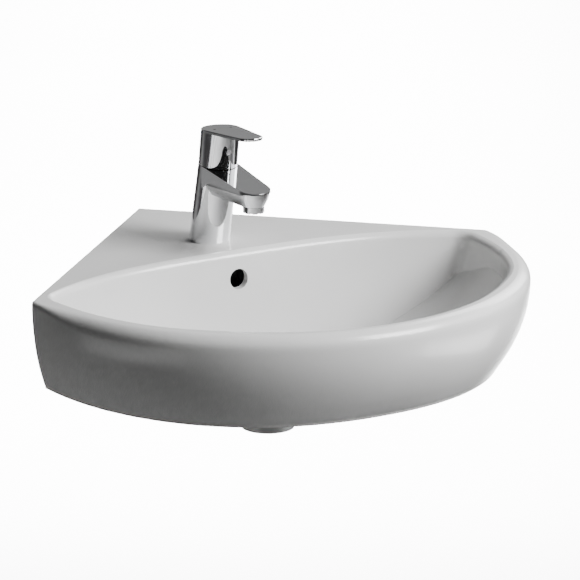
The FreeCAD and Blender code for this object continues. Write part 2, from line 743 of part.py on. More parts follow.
plan = Part.Face(stadium(0, w0, nose, size("HubForward"), reach)).extrude(V(0, 0, 130))
zs = size("SlabUnderHeight")
side_pts = [(d0, plane_top(d0)), (reach + nose + 6, plane_top(reach + nose + 6)), (reach + nose + 6, zs - 0.4), (46.0, zs)]
bend = Part.BSplineCurve()
bend.interpolate([V(-45, -46.0, zs), V(-45, -37.0, zs - 1.3), V(-45, -29.0, zs - 4.4), V(-45, -22.0, zs - 9.5)])
edges = []
for i in range(3):
    a, b = side_pts[i], side_pts[i + 1]
    edges.append(Part.makeLine(V(-45, -a[0], a[1]), V(-45, -b[0], b[1])))
edges.append(bend.toShape())
edges.append(Part.makeLine(V(-45, -22.0, zs - 9.5), V(-45, -d0, zs - 9.5)))
edges.append(Part.makeLine(V(-45, -d0, zs - 9.5), V(-45, -d0, plane_top(d0))))
slab = Part.Face(Part.Wire(edges)).extrude(V(90, 0, 0)).common(plan)

# rounded lower part of the spout, narrowing downwards like a boat
zu = size("SpoutUnderHeight")
rows = []
for z, inset in ((zs + 1.2, 0.9), (zs - 3.5, 1.3), (zs - 8.0, 2.7), (zs - 12.0, 4.7), (zu, 7.0)):
    rows.append(stadium(z, w0 - inset, nose - inset, size("HubForward") - 4, reach))
keel = Part.makeLoft(rows, True, False)

tap_solid = core.fuse([slab, keel]).removeSplitter()
body_core = shaped("tap_core", tap_solid, tap_place)

chamber = cylinder("chamber", "CartridgeRadius+0.1", 60.0, at(hub_place, z=-size("ChamberDeep")))
mouth_thread = cylinder("mouth_thread", 19.0, 60.0, at(hub_place, z=-4.05))
inlet_tools = []
for sx, tag in ((1, "hot"), (-1, "cold")):
    x0 = sx * size("InletAside")
    inlet_tools.append(cylinder("inlet_" + tag, "InletRadius", "InletDeep+1.0", at(tap_place, x=x0, y=-2.0, z=-1.0)))
    a, b = V(x0, -2.0, size("InletDeep") - 2.0), hub_point(sx * 6.5, -5.0, -size("ChamberDeep") + 1.0)
    dd = b.sub(a)
    inlet_tools.append(cylinder("rise_" + tag, 3.1, dd.Length, tap_place.multiply(Placement(a, Rotation(V(0, 0, 1), dd)))))
out_a, out_b = V(0, -27.0, 66.3), V(0, -reach, 68.0)
dd = out_b.sub(out_a)
outlet_run = cylinder("outlet_run", 4.2, dd.Length, tap_place.multiply(Placement(out_a, Rotation(V(0, 0, 1), dd))))
port_a = hub_point(0, 7.0, -size("ChamberDeep") + 1.0)
outlet_port = cylinder("outlet_port", 3.6, 9.0, tap_place.multiply(Placement(V(port_a.x, port_a.y, port_a.z - 9.0), Rotation())))
outlet_bore = cylinder("outlet_bore", 11.0, 9.0, at(tap_place, y=-reach, z=zu - 0.5))
outlet_well = cylinder("outlet_well", 9.0, 14.0, at(tap_place, y=-reach, z=zu - 0.5))
gasket_groove = cut(
    "gasket_groove", cylinder("groove_disc", 22.0, 1.8, tap_place), [cylinder("groove_core", 18.0, 1.8, tap_place)]
)
stud_hole = cylinder("stud_hole", "StudRadius", 14.0, at(tap_place, y=size("StudBehind"), z=-1.0))
tap_raw = cut("tap_raw", body_core, [chamber, mouth_thread, outlet_run, outlet_port, outlet_bore, outlet_well, gasket_groove, stud_hole] + inlet_tools)
doc.recompute()


def soften(shape, picks, radius, label):
    """Rounds the picked edges, one by one where they can't be rounded together."""
    chosen = [e for e in shape.Edges if picks(e)]
    if not chosen:
        print(label, "no edges")
        return shape
    try:
        got = shape.makeFillet(radius, chosen)
        if got.isValid() and abs(got.Volume - shape.Volume) < 0.2 * shape.Volume:
            print(label, "rounded", len(chosen))
            return got
    except Exception as err:
        print(label, "together failed:", err)
    done = 0
    for e in chosen:
        mid = e.valueAt(0.5 * (e.FirstParameter + e.LastParameter))
        for f in shape.Edges:
            g = f.valueAt(0.5 * (f.FirstParameter + f.LastParameter))
            if g.distanceToPoint(mid) < 0.05:
                try:
                    got = shape.makeFillet(radius, [f])
                    if got.isValid():
                        shape = got
                        done += 1
                except Exception:
                    pass
                break
    print(label, "rounded singly", done, "of", len(chosen))
    return shape


tap_shape = tap_raw.Shape
tap_shape = max(tap_shape.Solids, key=lambda q: q.Volume)
keep("tap_body", shaped("tap_body", tap_shape))

# ------------------------------------------------------------------ handle
HZ = size("PlateHeight")
tilt = math.radians(LEAN + size("PlateRise"))
gap = size("HandleGap")
pr, pa = size("PlateNoseRadius"), size("PlateNoseAhead")


def plate_plane(e, below=0.0):
    """Height of the plate's top above the joint, at a distance e ahead of the axis."""
    return HZ + e * math.tan(tilt) - below / math.cos(tilt)


side = math.asin((HR - pr) / pa)
q1 = V(HR * math.cos(side), -HR * math.sin(side), 0)
q2 = V(pr * math.cos(side), -(pa + pr * math.sin(side)), 0)
q3, q4 = V(-q2.x, q2.y, 0), V(-q1.x, q1.y, 0)
leaf = Part.Face(Part.Wire([
    Part.Arc(q4, V(0, HR, 0), q1).toShape(), Part.makeLine(q1, q2),
    Part.Arc(q2, V(0, -(pa + pr), 0), q3).toShape(), Part.makeLine(q3, q4),
])).extrude(V(0, 0, 90))


def slab_between(low, high):
    """Slab bounded by two planes parallel to the plate, given as depths below its top."""
    pts = []
    for e, dz in ((-60, high), (120, high), (120, low), (-60, low)):
        pts.append(V(-60, -e, plate_plane(e, dz)))
    pts.append(pts[0])
    return Part.Face(Part.makePolygon(pts)).extrude(V(120, 0, 0))


plate = leaf.common(slab_between(size("PlateThick"), 0.0))
skirt = Part.makeCylinder(HR, 70, V(0, 0, gap)).common(slab_between(60.0, size("PlateThick") - 0.3))
outer_handle = plate.fuse(skirt).removeSplitter()
inner_r = HR - size("HandleWall")
room = Part.makeCylinder(inner_r, 32.0 - gap + 1.0, V(0, 0, gap - 1.0))
socket = Part.makeBox(15.0, 15.0, 18.0, V(-7.5, -7.5, 16.0))
rib = Part.makeBox(9.0, 20.0, 10.0, V(-4.5, -20.5, 16.0))
inside = room.cut(socket.fuse(rib))
handle = outer_handle.cut(inside)
stem_side = size("StemSide") + 0.1
handle = handle.cut(Part.makeBox(stem_side, stem_side, 16.0, V(-stem_side / 2, -stem_side / 2, 15.0)))
handle = handle.cut(Part.makeCylinder(2.5, 30.0, V(0, -2.0, 21.0), V(0, -1, 0)))
handle = handle.cut(Part.makeCylinder(3.3, 10.0, V(0, -20.2, 21.0), V(0, -1, 0)))
# the rear of the skirt is cut obliquely, so that the lever can be lifted
relief_angle = math.radians(size("LiftAngle") + 1.6)
wedge = Part.Face(Part.makePolygon([
    V(-30, 2.5, -2.0), V(-30, 2.5, gap), V(-30, 40.0, gap + 37.5 * math.tan(relief_angle)), V(-30, 40.0, -2.0), V(-30, 2.5, -2.0),
])).extrude(V(60, 0, 0))
handle = handle.cut(wedge)
# seats of the two temperature marks
mark_r, mark_deep = 1.7, 0.5
mark_seats = []
normal = V(0, math.sin(tilt), math.cos(tilt))
for sx in (1, -1):
    e_mark = 4.6
    c = V(sx * 10.6, -e_mark, plate_plane(e_mark))
    mark_seats.append((sx, c))
    handle = handle.cut(Part.makeCylinder(mark_r + 0.03, 3.0, c.sub(normal * mark_deep), normal))


def plate_edge(e):
    pts = [e.valueAt(e.FirstParameter + (e.LastParameter - e.FirstParameter) * f) for f in (0.0, 0.35, 0.7, 1.0)]
    on_top = all(abs(p.z - plate_plane(-p.y)) < 0.02 for p in pts)
    return on_top and e.Length > 12.0


handle = max(handle.Solids, key=lambda q: q.Volume)
handle = soften(handle, plate_edge, 1.0, "plate top edge")
keep("lever_handle", shaped("lever_handle", handle, hub_place))

for sx, c in mark_seats:
    mark = Part.makeCylinder(mark_r, mark_deep, c.sub(normal * mark_deep), normal)
    name = "hot_mark" if sx < 0 else "cold_mark"
    keep(name, shaped(name, mark, hub_place))

# grub screw and its cover in the front of the handle
grub = turned("grub_screw", [(0, 0), (2.1, 0), (2.42, 0.5), (2.42, 8.5), (0, 8.5)], Placement())
hexagon = grub.newObject("Sketcher::SketchObject", "grub_key_profile")
hexagon.AttachmentSupport = [(plane_of(grub, "XY_Plane"), "")]
hexagon.MapMode = "FlatFace"
hexagon.AttachmentOffset = Placement(V(0, 0, 8.5), Rotation())
for i in range(6):
    a0, a1 = math.radians(60 * i), math.radians(60 * (i + 1))
    hexagon.addGeometry(Part.LineSegment(V(1.44 * math.cos(a0), 1.44 * math.sin(a0), 0), V(1.44 * math.cos(a1), 1.44 * math.sin(a1), 0)), False)
doc.recompute()
grub_before = grub.Shape.Volume
key = grub.newObject("PartDesign::Pocket", "grub_key")
key.Profile = hexagon
key.Length = 3.0
grub.Tip = key
doc.recompute()
if not grub.Shape.Volume < grub_before - 1e-3:
    raise RuntimeError("the key recess cut nothing")
grub.Placement = at(hub_place, y=-4.1, z=21.0, rot=Rotation(V(1, 0, 0), 90))
keep("grub_screw", grub)
plug = turned(
    "screw_plug", [(0, 0), (2.3, 0), (2.3, 5.0), (3.2, 5.0), (3.2, 5.9), (2.9, 6.4), (0, 6.8)],
    at(hub_place, y=-15.3, z=21.0, rot=Rotation(V(1, 0, 0), 90)),
)
keep("screw_plug", plug)

# ------------------------------------------------------------------ cartridge
# housing: cup with a shoulder and a neck
CR, CD = "CartridgeRadius", "ChamberDeep"
housing = turned(
    "cartridge_housing",
    [(15.8, 3.5), (CR, 3.5), (CR, 13.9), ("NeckRadius", 13.9), ("NeckRadius", 21.0), ("RotorRadius+0.15", 21.0), ("RotorRadius+0.15", 12.8), (15.8, 12.8)],
    at(hub_place, z=-size("ChamberDeep")),
)
keep("cartridge_housing", housing)

base = doc.addObject("PartDesign::Body", "cartridge_base")
sk = circles_sketch(base, "XY_Plane", [(0, 0, CR), (6.5, 5.0, 3.0), (-6.5, 5.0, 3.0), (0, -7.0, 3.6)], "cartridge_base_profile")
pad(base, sk, 3.45, "cartridge_base_pad")
base.Placement = at(hub_place, z=-size("ChamberDeep"))
doc.recompute()
seat_sk = circles_sketch(base, "XY_Plane", [(6.5, 5.0, 4.9), (-6.5, 5.0, 4.9), (0, -7.0, 5.5)], "seal_seats")
seats = base.newObject("PartDesign::Pocket", "seal_seats_cut")
seats.Profile = seat_sk
seats.Length = 1.4
seats.Reversed = True
base.Tip = seats
doc.recompute()
volume_full = math.pi * (size(CR) ** 2 - 9.0 - 9.0 - 12.96) * 3.45
if not base.Shape.Volume < volume_full - 50:
    seats.Reversed = False
    doc.recompute()
    if not base.Shape.Volume < volume_full - 50:
        raise RuntimeError("the seal seats cut nothing")
keep("cartridge_base", base)

rings = []
for i, (x, y, r_out, r_in) in enumerate(((6.5, 5.0, 4.85, 3.1), (-6.5, 5.0, 4.85, 3.1), (0, -7.0, 5.45, 3.7))):
    a = cylinder("seal_disc_%d" % i, r_out, 1.35, at(hub_place, x=x, y=y, z=-size("ChamberDeep") + 0.02))
    b = cylinder("seal_core_%d" % i, r_in, 1.35, at(hub_place, x=x, y=y, z=-size("ChamberDeep") + 0.02))
    rings.append(cut("seal_ring_%d" % i, a, [b]))
seals = doc.addObject("Part::Compound", "port_seals")
seals.Links = rings
keep("port_seals", seals)

fixed = doc.addObject("PartDesign::Body", "fixed_disc")
sk = circles_sketch(fixed, "XY_Plane", [(0, 0, "DiscRadius"), (6.2, 4.8, 2.9), (-6.2, 4.8, 2.9), (0, -6.6, 3.5)], "fixed_disc_profile")
pad(fixed, sk, 3.0, "fixed_disc_pad")
fixed.Placement = at(hub_place, z=-size("ChamberDeep") + 3.5)
keep("fixed_disc", fixed)

# the moving disc has a blind pocket underneath, which joins inlets to outlet as it slides
moving = doc.addObject("PartDesign::Body", "moving_disc")
sk = circles_sketch(moving, "XY_Plane", [(0, 0, "SliderRadius")], "moving_disc_profile")
pad(moving, sk, 2.75, "moving_disc_pad")
moving.Placement = at(hub_place, z=-size("ChamberDeep") + 6.55)
doc.recompute()
vol_before = moving.Shape.Volume
pk = circles_sketch(moving, "XY_Plane", [(0, -3.4, 6.0)], "mixing_pocket_profile")
pocket = moving.newObject("PartDesign::Pocket", "mixing_pocket")
pocket.Profile = pk
pocket.Length = 1.5
pocket.Reversed = True
moving.Tip = pocket
doc.recompute()
if not moving.Shape.Volume < vol_before - 50:
    pocket.Reversed = False
    doc.recompute()
    if not moving.Shape.Volume < vol_before - 50:
        raise RuntimeError("the mixing pocket cut nothing")
keep("moving_disc", moving)

carrier = doc.addObject("PartDesign::Body", "disc_carrier")
sk = circles_sketch(carrier, "XY_Plane", [(0, 0, "SliderRadius"), (0, 0, "BallRadius+0.08")], "carrier_profile")
pad(carrier, sk, 3.2, "carrier_pad")
carrier.Placement = at(hub_place, z=-size("ChamberDeep") + 9.32)
keep("disc_carrier", carrier)

# lever holder: turns in the neck; a slot along the lever's plane, and a cross hole for the pin
rotor_low, rotor_high = -4.2, 9.4
rot_body = cylinder("holder_round", "RotorRadius", rotor_high - rotor_low, at(hub_place, z=rotor_low))
rot_slot = block("holder_slot", 5.3, 19.0, 30.0, at(hub_place, x=-2.65, y=-9.5, z=rotor_low - 5))
rot_pin = cylinder("holder_pin_hole", "PinRadius+0.02", 40.0, at(hub_place, x=-20, z=size("PivotUp"), rot=Rotation(V(0, 1, 0), 90)))
holder = cut("stem_holder", rot_body, [rot_slot, rot_pin])
keep("stem_holder", holder)
pin = cylinder("pivot_pin", "PinRadius", 20.0, at(hub_place, x=-10.0, z=size("PivotUp"), rot=Rotation(V(0, 1, 0), 90)))
keep("pivot_pin", pin)

# stem: square above, flat tongue through the holder, ball below
ball_z = -6.4
stem_sq = block("stem_square", "StemSide", "StemSide", 19.0, at(hub_place, x=-size("StemSide") / 2, y=-size("StemSide") / 2, z=11.2))
stem_flat = block("stem_tongue", 4.8, 8.0, 16.2, at(hub_place, x=-2.4, y=-4.0, z=-4.6))
stem_neck = cylinder("stem_neck", 1.9, 4.0, at(hub_place, z=-7.0))
stem_ball = doc.addObject("Part::Sphere", "stem_ball")
stem_ball.Radius = size("BallRadius")
stem_ball.setExpression("Radius", formula("BallRadius"))
stem_ball.Placement = at(hub_place, z=ball_z)
stem_mass = fused("stem_mass", [stem_sq, stem_flat, stem_neck, stem_ball])
stem_hole = cylinder("stem_hole", "PinRadius+0.05", 40.0, at(hub_place, x=-20, z=size("PivotUp"), rot=Rotation(V(0, 1, 0), 90)))
ball_flat = block("ball_flat", 12.0, 12.0, 10.0, at(hub_place, x=-6, y=-6, z=ball_z - 2.2 - 10.0))
stem = cut("lever_stem", stem_mass, [stem_hole, ball_flat])
keep("lever_stem", stem)

# hot limit ring: sits on the neck, with a stop block
ring_disc = cylinder("limit_disc", 12.9, 1.8, at(hub_place, z=3.05))
ring_core = cylinder("limit_core", "RotorRadius+0.2", 6.0, at(hub_place, z=2.0))
ring_notch = block("limit_notch", 5.0, 6.0, 6.0, at(hub_place, x=-2.5, y=9.5, z=2.0))
limit = cut("limit_ring", ring_disc, [ring_core, ring_notch])
keep("limit_ring", limit)

# cartridge nut: thread in the body's mouth, hexagon collar above it
nut = turned(
    "cartridge_nut",
    [("NeckRadius+0.15", 0), (18.9, 0), (18.9, 3.85), (15.0, 3.85), (15.0, 7.6), ("NeckRadius+0.15", 7.6)],
    at(hub_place, z=-4.0),
)
keep("cartridge_nut", nut)

# ball-shaped cover round the pivot: the handle's skirt swings over it
pv = size("PivotUp")
ball_out = Part.makeSphere(18.0, V(0, 0, pv))
ball_in = Part.makeSphere(16.4, V(0, 0, pv))
zone = Part.makeCylinder(30, 14.0, V(0, 0, 0.02))
cover = ball_out.cut(ball_in).common(zone)
foot_ring = Part.makeCylinder(16.55, 2.6, V(0, 0, 0.02)).cut(Part.makeCylinder(15.05, 2.6, V(0, 0, 0.02)))
cover = cover.fuse(foot_ring).cut(Part.makeCylinder(15.05, 3.75, V(0, 0, 0))).removeSplitter()
cover = max(cover.Solids, key=lambda q: q.Volume)
keep("ball_cover", shaped("ball_cover", cover, hub_place))

# ------------------------------------------------------------------ aerator
oh, orad = size("OutletHeight"), size("OutletRadius")
aer = turned(
    "aerator_turn",
    [(9.2, 0.8), (9.8, 0), (11.4, 0), ("OutletRadius", 0.7), ("OutletRadius", 7.0), (10.9, 7.0), (10.9, 14.6), (9.2, 14.6)],
    at(tap_place, y=-reach, z=oh),
)
notches = []
for i in range(8):
    notches.append(block("key_notch_%d" % i, 4.0, 6.0, 2.4, at(tap_place, y=-reach, z=oh - 0.01, rot=Rotation(V(0, 0, 1), 45.0 * i)).multiply(Placement(V(-2.0, 9.6, 0), Rotation()))))
aerator_housing = cut("aerator_housing", aer, notches)
keep("aerator_housing", aerator_housing)

insert = doc.addObject("PartDesign::Body", "aerator_insert")
sk = circles_sketch(insert, "XY_Plane", [(0, 0, 9.0)], "insert_profile")
pad(insert, sk, 8.0, "insert_pad")
doc.recompute()
holes = []
for ring_r, count in ((0.0, 1), (2.6, 6), (5.2, 12), (7.6, 18)):
    for i in range(count):
        a = 2 * math.pi * i / count
        holes.append((round(ring_r * math.cos(a), 4), round(ring_r * math.sin(a), 4), 0.75))
hk = circles_sketch(insert, "XY_Plane", holes, "insert_holes")
pocket_through(insert, hk, "insert_holes_cut")
insert.Placement = at(tap_place, y=-reach, z=oh + 1.4)
keep("aerator_insert", insert)

screen = doc.addObject("PartDesign::Body", "aerator_screen")
sk = circles_sketch(screen, "XY_Plane", [(0, 0, 9.0)], "screen_profile")
pad(screen, sk, 0.8, "screen_pad")
doc.recompute()
grid_holes = [(2.2 * i, 2.2 * j, 0.8) for i in range(-3, 4) for j in range(-3, 4) if math.hypot(2.2 * i, 2.2 * j) < 7.6]
hk = circles_sketch(screen, "XY_Plane", grid_holes, "screen_holes")
pocket_through(screen, hk, "screen_holes_cut")
screen.Placement = at(tap_place, y=-reach, z=oh + 9.45)
keep("aerator_screen", screen)

washer = turned(
    "aerator_washer", [(9.1, 0), (10.9, 0), (10.9, 0.95), (9.1, 0.95)],
    at(tap_place, y=-reach, z=oh + 14.65),
)
keep("aerator_washer", washer)

# ------------------------------------------------------------------ fixing on the deck
gasket = turned("base_gasket", [(18.1, 0), (21.9, 0), (21.9, 1.75), (18.1, 1.75)], tap_place)
keep("base_gasket", gasket)

sy = size("StudBehind")
stud_round = cylinder("stud_rod", "StudRadius-0.03", 62.0, at(tap_place, y=sy, z=-49.0))
thread_cuts = []
for i in range(16):
    groove = doc.addObject("Part::Torus", "stud_groove_%d" % i)
    groove.Radius1 = size("StudRadius") + 0.25
    groove.setExpression("Radius1", formula("StudRadius+0.25"))
    groove.Radius2 = 0.55
    groove.Placement = at(tap_place, y=sy, z=-47.5 + 1.5 * i)
    thread_cuts.append(groove)
stud = cut("mounting_stud", stud_round, thread_cuts)
keep("mounting_stud", stud)


def horseshoe(name, radius, thick, z, hole):
    disc = cylinder(name + "_disc", radius, thick, at(tap_place, z=z))
    gate = block(name + "_gate", 29.0, 40.0, thick, at(tap_place, x=-14.5, y=-36.0, z=z))
    bore = cylinder(name + "_bore", hole, thick, at(tap_place, y=sy, z=z))
    return cut(name, disc, [gate, bore])


keep("horseshoe_washer", horseshoe("horseshoe_washer", "PlateRadius+0.5", 2.95, -deck - 3.0, 4.3))
keep("horseshoe_plate", horseshoe("horseshoe_plate", "PlateRadius", 2.0, -deck - 5.05, 4.2))

hexnut = doc.addObject("PartDesign::Body", "stud_nut")
pts = [(7.5 * math.cos(math.radians(60 * i + 30)), 7.5 * math.sin(math.radians(60 * i + 30))) for i in range(6)]
hsk = outline_sketch(hexnut, "XY_Plane", pts, "stud_nut_profile")
pad(hexnut, hsk, 11.0, "stud_nut_pad")
doc.recompute()
bsk = circles_sketch(hexnut, "XY_Plane", [(0, 0, "StudRadius+0.02")], "stud_nut_bore")
pocket_through(hexnut, bsk, "stud_nut_bore_cut")
hexnut.Placement = at(tap_place, y=sy, z=-deck - 16.1)
keep("stud_nut", hexnut)

# ------------------------------------------------------------------ check and write
doc.recompute()
bad = []
for obj in doc.Objects:
    if any(word in ("Invalid", "Error") for word in obj.State):
        bad.append(obj.Name)
if bad:
    raise RuntimeError("failed objects: " + ", ".join(bad))
for name, obj in parts.items():
    shape = obj.Shape
    if shape.isNull() or not shape.isValid() or shape.Volume <= 0 or not shape.Solids:
        raise RuntimeError("bad shape: " + name)
for old in os.listdir("parts"):
    if old.endswith(".step") and old[:-5] not in parts:
        os.remove(os.path.join("parts", old))
for name, obj in sorted(parts.items()):
    shape = obj.Shape
    out = shape.Solids[0] if len(shape.Solids) == 1 else Part.makeCompound(shape.Solids)
    out.exportStep(os.path.join("parts", name + ".step"))
    b = shape.optimalBoundingBox()
    print("%-20s solids %d  volume %10.1f mm3  box %.1f %.1f %.1f .. %.1f %.1f %.1f" % (
        name, len(shape.Solids), shape.Volume, b.XMin, b.YMin, b.ZMin, b.XMax, b.YMax, b.ZMax))
print(len(parts), "parts written")
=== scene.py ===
import json
import math

import bpy
import bmesh
import numpy as np
from mathutils import Matrix, Vector


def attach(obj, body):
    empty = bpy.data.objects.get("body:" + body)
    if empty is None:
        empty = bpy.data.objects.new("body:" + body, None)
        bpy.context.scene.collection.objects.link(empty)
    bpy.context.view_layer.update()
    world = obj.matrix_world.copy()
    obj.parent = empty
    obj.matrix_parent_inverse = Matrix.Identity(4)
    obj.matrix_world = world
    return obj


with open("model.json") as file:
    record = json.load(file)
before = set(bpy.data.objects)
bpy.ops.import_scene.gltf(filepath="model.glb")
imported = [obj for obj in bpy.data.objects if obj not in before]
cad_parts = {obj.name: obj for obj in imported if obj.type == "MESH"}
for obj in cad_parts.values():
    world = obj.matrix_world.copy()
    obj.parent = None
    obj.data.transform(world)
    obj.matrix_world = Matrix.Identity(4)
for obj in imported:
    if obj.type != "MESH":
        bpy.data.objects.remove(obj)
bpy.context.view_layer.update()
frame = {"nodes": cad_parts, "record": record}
nodes = frame["nodes"]


# ------------------------------------------------------------------ materials
def new_material(name):
    m = bpy.data.materials.new(name)
    m.use_nodes = True
    nt = m.node_tree
    nt.nodes.clear()
    out = nt.nodes.new("ShaderNodeOutputMaterial")
    bsdf = nt.nodes.new("ShaderNodeBsdfPrincipled")
    nt.links.new(bsdf.outputs["BSDF"], out.inputs["Surface"])
    return m, nt, bsdf


def noise(nt, scale, detail=3.0, rough=0.55, stretch=(1, 1, 1), seed=0.0):
    tc = nt.nodes.new("ShaderNodeTexCoord")
    mp = nt.nodes.new("ShaderNodeMapping")
    mp.inputs["Scale"].default_value = stretch
    mp.inputs["Location"].default_value = (seed, seed * 0.37, seed * 0.71)
    nt.links.new(tc.outputs["Object"], mp.inputs["Vector"])
    n = nt.nodes.new("ShaderNodeTexNoise")
    n.inputs["Scale"].default_value = scale
    n.inputs["Detail"].default_value = detail
    n.inputs["Roughness"].default_value = rough
    nt.links.new(mp.outputs["Vector"], n.inputs["Vector"])
    return n.outputs["Fac"]


def remap(nt, value, lo, hi, a=0.3, b=0.7):
    r = nt.nodes.new("ShaderNodeMapRange")
    r.inputs["From Min"].default_value = a
    r.inputs["From Max"].default_value = b
    r.inputs["To Min"].default_value = lo
    r.inputs["To Max"].default_value = hi
    nt.links.new(value, r.inputs["Value"])
    return r.outputs["Result"]


def tinted(nt, value, dark, light, a=0.3, b=0.7):
    r = nt.nodes.new("ShaderNodeValToRGB")
    r.color_ramp.elements[0].position = a
    r.color_ramp.elements[0].color = (*dark, 1)
    r.color_ramp.elements[1].position = b
    r.color_ramp.elements[1].color = (*light, 1)
    nt.links.new(value, r.inputs["Fac"])
    return r.outputs["Color"]


def bumped(nt, bsdf, value, strength, distance):
    b = nt.nodes.new("ShaderNodeBump")
    b.inputs["Strength"].default_value = strength
    b.inputs["Distance"].default_value = distance
    nt.links.new(value, b.inputs["Height"])
    nt.links.new(b.outputs["Normal"], bsdf.inputs["Normal"])
    return b


def glaze():
    m, nt, bsdf = new_material("white_glaze")
    fine = noise(nt, 9.0, 2.0, 0.5)
    nt.links.new(tinted(nt, fine, (0.61, 0.61, 0.608), (0.64, 0.64, 0.638)), bsdf.inputs["Base Color"])
    nt.links.new(remap(nt, noise(nt, 35.0, 4.0, 0.6, seed=3.0), 0.2, 0.27), bsdf.inputs["Roughness"])
    bsdf.inputs["IOR"].default_value = 1.52
    bsdf.inputs["Coat Weight"].default_value = 0.12
    bsdf.inputs["Coat Roughness"].default_value = 0.05
    bumped(nt, bsdf, noise(nt, 55.0, 2.0, 0.5, seed=7.0), 0.05, 0.0006)
    return m


def chrome(name="chrome_plate", lo=0.035, hi=0.075):
    m, nt, bsdf = new_material(name)
    bsdf.inputs["Metallic"].default_value = 1.0
    nt.links.new(tinted(nt, noise(nt, 30.0, 3.0, 0.6, seed=1.0), (0.76, 0.77, 0.785), (0.81, 0.815, 0.825)), bsdf.inputs["Base Color"])
    nt.links.new(remap(nt, noise(nt, 90.0, 5.0, 0.65, seed=5.0), lo, hi), bsdf.inputs["Roughness"])
    bumped(nt, bsdf, noise(nt, 45.0, 2.0, 0.5, seed=9.0), 0.03, 0.0003)
    return m


def metal(name, dark, light, lo, hi, scale=120.0, stretch=(1, 1, 1), bump=0.2):
    m, nt, bsdf = new_material(name)
    bsdf.inputs["Metallic"].default_value = 1.0
    grain = noise(nt, scale, 6.0, 0.7, stretch=stretch, seed=2.0)
    nt.links.new(tinted(nt, grain, dark, light), bsdf.inputs["Base Color"])
    nt.links.new(remap(nt, grain, lo, hi), bsdf.inputs["Roughness"])
    bumped(nt, bsdf, grain, bump, 0.0002)
    return m


def moulded(name, dark, light, lo, hi, scale=260.0, bump=0.15, depth=0.0002, spec=0.5):
    m, nt, bsdf = new_material(name)
    grain = noise(nt, scale, 4.0, 0.6, seed=4.0)
    nt.links.new(tinted(nt, noise(nt, scale * 0.12, 3.0, 0.5), dark, light), bsdf.inputs["Base Color"])
    nt.links.new(remap(nt, grain, lo, hi), bsdf.inputs["Roughness"])
    bsdf.inputs["Specular IOR Level"].default_value = spec
    bumped(nt, bsdf, grain, bump, depth)
    return m


materials = {
    "glaze": glaze(),
    "chrome_plate": chrome(),
    "steel": metal("stainless_steel", (0.5, 0.5, 0.51), (0.62, 0.62, 0.63), 0.25, 0.4, 160.0),
    "brass": metal("machined_brass", (0.62, 0.47, 0.24), (0.78, 0.62, 0.35), 0.22, 0.36, 140.0),
    "black_rubber": moulded("black_rubber", (0.02, 0.02, 0.02), (0.045, 0.045, 0.045), 0.65, 0.85, 300.0, 0.3),
    "disc_ceramic": moulded("lapped_ceramic", (0.76, 0.74, 0.7), (0.84, 0.82, 0.78), 0.25, 0.4),
    "pale_plastic": moulded("pale_plastic", (0.74, 0.74, 0.72), (0.82, 0.82, 0.8), 0.4, 0.55),
    "dark_plastic": moulded("dark_plastic", (0.08, 0.08, 0.085), (0.13, 0.13, 0.135), 0.4, 0.55),
    "red_plastic": moulded("red_plastic", (0.4, 0.07, 0.06), (0.52, 0.1, 0.08), 0.4, 0.55),
    "grey_plastic": moulded("grey_plastic", (0.2, 0.2, 0.205), (0.27, 0.27, 0.275), 0.25, 0.35),
    "mark_dark": moulded("mark_dark", (0.012, 0.012, 0.012), (0.025, 0.025, 0.025), 0.6, 0.75, spec=0.02),
    # painted shade: near-black matte material for the tray that darkens the overflow duct
    "duct_shade": moulded("duct_shade", (0.012, 0.012, 0.012), (0.03, 0.03, 0.03), 0.8, 0.95, 200.0, 0.3, 0.0004, 0.2),
    "mark_light": moulded("mark_light", (0.02, 0.02, 0.02), (0.035, 0.035, 0.035), 0.6, 0.75, spec=0.02),
}

slot_of = {s["node"]: s["material_slot"] for s in frame["record"]["subparts"]}
for name, obj in nodes.items():
    m = materials[slot_of[name]]
    if not obj.material_slots:
        obj.data.materials.append(m)
    for s in obj.material_slots:
        s.material = m


# ------------------------------------------------------------------ overflow duct
def painted_shade_tray(name, x, y0, y1, z0, z1, wall):
    """Near-black tray behind the overflow hole, painted shade standing in for the shade inside the duct: a tray of
    even thickness, open towards the bowl.
    """
    bm = bmesh.new()

    def ring(cx, front, low, high):
        return [bm.verts.new(v) for v in ((-cx, front, low), (cx, front, low), (cx, front, high), (-cx, front, high))]

    outer_f, outer_b = ring(x, y0, z0, z1), ring(x, y1, z0, z1)
    inner_f, inner_b = ring(x - wall, y0, z0 + wall, z1 - wall), ring(x - wall, y1 - wall, z0 + wall, z1 - wall)
    for i in range(4):
        j = (i + 1) % 4
        bm.faces.new((outer_f[i], outer_f[j], outer_b[j], outer_b[i]))
        bm.faces.new((inner_f[j], inner_f[i], inner_b[i], inner_b[j]))
        bm.faces.new((outer_f[j], outer_f[i], inner_f[i], inner_f[j]))
    bm.faces.new(outer_b)
    bm.faces.new(inner_b[::-1])
    bmesh.ops.recalc_face_normals(bm, faces=bm.faces)
    bmesh.ops.bevel(bm, geom=[e for e in bm.edges if e.calc_length() > 0.004], offset=0.0004, segments=2, affect="EDGES")
    me = bpy.data.meshes.new(name)
    bm.to_mesh(me)
    bm.free()
    me.materials.append(materials["duct_shade"])
    o = bpy.data.objects.new(name, me)
    bpy.context.scene.collection.objects.link(o)
    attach(o, "basin_and_tap")
    return o


# painted shade: a near-black tray inside the overflow duct stands in for the shade there
painted_shade_tray("overflow_shade", 0.0136, -0.2229, -0.2051, -0.1500, -0.0144, 0.0006)


